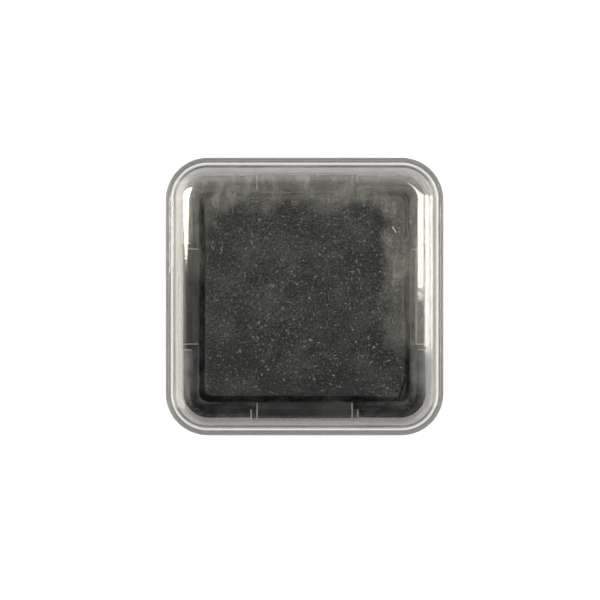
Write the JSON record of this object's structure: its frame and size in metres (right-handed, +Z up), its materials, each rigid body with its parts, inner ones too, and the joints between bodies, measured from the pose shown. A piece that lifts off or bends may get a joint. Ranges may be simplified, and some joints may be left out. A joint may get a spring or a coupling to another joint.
{
  "type": "ink pad",
  "caption": "Small square ink pad for craft stamps: inked foam in a black tray, clipped into a clear case whose lid lifts straight off.",
  "frame": {"origin": "middle of the footprint, on the surface that the base stands on", "axes": "+Z up, the way the lid lifts off; +X and +Y square to the sides of the case"},
  "size_m": [0.0402, 0.0402, 0.018],
  "materials": {
    "clear_plastic": "clear gloss",
    "black_plastic": "gloss, wiped with ink",
    "inked_foam": "damp fine-pore foam",
    "inked_felt": "soaked felt",
    "adhesive": "satin film"
  },
  "bodies": {
    "base": {"base": "clear_plastic", "pad_tray": "black_plastic", "reservoir_adhesive": "adhesive", "ink_reservoir": "inked_felt", "foam_pad": "inked_foam"},
    "lid": {"lid": "clear_plastic"}
  },
  "joints": [
    {"name": "lid_lift", "type": "slide", "parent": "base", "child": "lid", "axis": [0, 0, 1], "range_m": [0, 0.03]}
  ]
}
